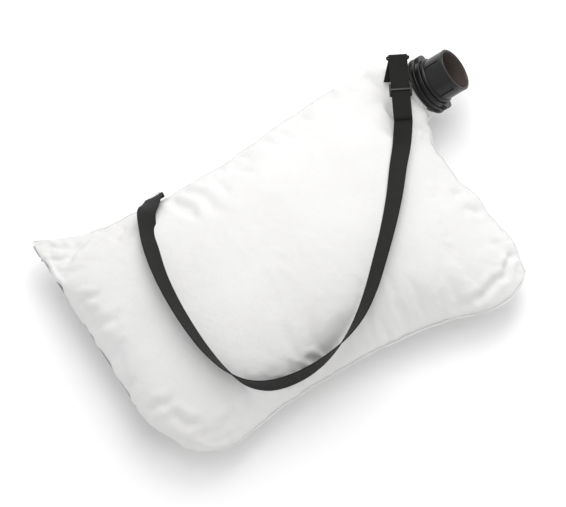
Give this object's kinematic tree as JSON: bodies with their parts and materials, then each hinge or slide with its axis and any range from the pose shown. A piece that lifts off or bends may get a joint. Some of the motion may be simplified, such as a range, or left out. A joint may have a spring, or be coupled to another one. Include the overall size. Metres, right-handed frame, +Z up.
{
  "type": "leaf blower collection bag",
  "caption": "Soft white debris bag lying on its back, with a tipped black plastic coupler at one corner, a black webbing shoulder strap across the front and a zip along the end.",
  "frame": {"origin": "middle of the flat patch of the back panel that the bag lies on", "axes": "+X along the bag from the zip end to the coupler end, +Y towards the long edge that the strap is sewn to, +Z up, out of the front panel"},
  "size_m": [0.7496, 0.4764, 0.1588],
  "materials": {
    "white_fabric": "close white woven polyester, matt with a soft sheen",
    "zip_tape": "ribbed knitted tape",
    "zip_nylon": "satin nylon coil",
    "trim_metal": "plated, slightly worn",
    "coupler_plastic": "black moulded plastic, semi-gloss",
    "ring_plastic": "black moulded plastic, fine texture",
    "strap_webbing": "coarse black woven webbing"
  },
  "bodies": {
    "bag": {"front_panel": "white_fabric", "back_panel": "white_fabric", "neck_sleeve": "white_fabric", "front_zip_tape": "zip_tape", "back_zip_tape": "zip_tape", "front_zip_coil": "zip_nylon", "back_zip_coil": "zip_nylon", "zip_top_stop": "trim_metal", "zip_bottom_stop": "trim_metal", "coupler_body": "coupler_plastic", "retaining_collar": "ring_plastic", "clamp_ring": "ring_plastic", "clamp_screw_1": "trim_metal", "clamp_screw_2": "trim_metal", "clamp_screw_3": "trim_metal", "clamp_screw_4": "trim_metal"},
    "lock": {"lock_ring": "ring_plastic"},
    "strap": {"strap_webbing": "strap_webbing", "strap_ring": "ring_plastic", "neck_anchor_tab": "strap_webbing"},
    "adjuster": {"strap_adjuster": "ring_plastic"},
    "slider": {"zip_slider": "trim_metal"},
    "pull": {"zip_pull": "trim_metal"}
  },
  "joints": [
    {"name": "lock_turn", "type": "hinge", "parent": "bag", "child": "lock", "pos_m": [0.359, 0.144, 0.067], "axis": [0.7765, -0.2081, 0.5948], "range_deg": [0, 30]},
    {"name": "strap_swing", "type": "hinge", "parent": "bag", "child": "strap", "pos_m": [0.307, 0.167, 0.095], "axis": [-0.9915, 0.0728, -0.1081], "range_deg": [0, 36]},
    {"name": "adjuster_slide", "type": "slide", "parent": "strap", "child": "adjuster", "axis": [0.4536, 0.8897, 0.0523], "range_m": [-0.03, 0.024]},
    {"name": "zip_run", "type": "slide", "parent": "bag", "child": "slider", "axis": [0, -1, 0], "range_m": [0, 0.285]},
    {"name": "pull_flip", "type": "hinge", "parent": "slider", "child": "pull", "pos_m": [-0.31959, 0.206, 0.03741], "axis": [-0.7071, 0, 0.7071], "range_deg": [0, 150]}
  ]
}
